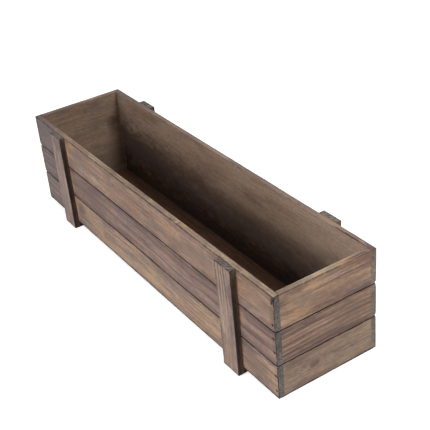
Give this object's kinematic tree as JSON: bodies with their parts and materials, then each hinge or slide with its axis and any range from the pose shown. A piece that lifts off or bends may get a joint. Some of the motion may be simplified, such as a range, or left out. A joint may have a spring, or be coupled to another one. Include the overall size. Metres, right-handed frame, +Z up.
{
  "type": "planter box",
  "caption": "Long open wooden planter box of stacked stained planks with a thin floor board on two runners, and upright battens outside the long walls that reach below the planks as feet",
  "frame": {"origin": "middle of the box, on the ground under its feet", "axes": "+X along the long planks, +Y from the front to the back, +Z up"},
  "size_m": [0.6096, 0.162, 0.1524],
  "materials": {
    "plank_wood": "smoked brown stain, dry and matt",
    "batten_wood": "grey-brown stain, dry and matt",
    "floor_wood": "reddish brown stain, matt",
    "nail_steel": "dark bare steel"
  },
  "bodies": {
    "root": {"front_plank_bottom": "plank_wood", "front_plank_middle": "plank_wood", "front_plank_top": "plank_wood", "back_plank_bottom": "plank_wood", "back_plank_middle": "plank_wood", "back_plank_top": "plank_wood", "left_end_plank_bottom": "plank_wood", "left_end_plank_middle": "plank_wood", "left_end_plank_top": "plank_wood", "right_end_plank_bottom": "plank_wood", "right_end_plank_middle": "plank_wood", "right_end_plank_top": "plank_wood", "batten_front_left": "batten_wood", "batten_front_right": "batten_wood", "batten_back_left": "batten_wood", "batten_back_right": "batten_wood", "runner_left": "batten_wood", "runner_right": "batten_wood", "floor_board": "floor_wood", "corner_brads": "nail_steel", "batten_pins": "nail_steel", "floor_brads": "nail_steel", "runner_brads": "nail_steel"}
  },
  "joints": []
}
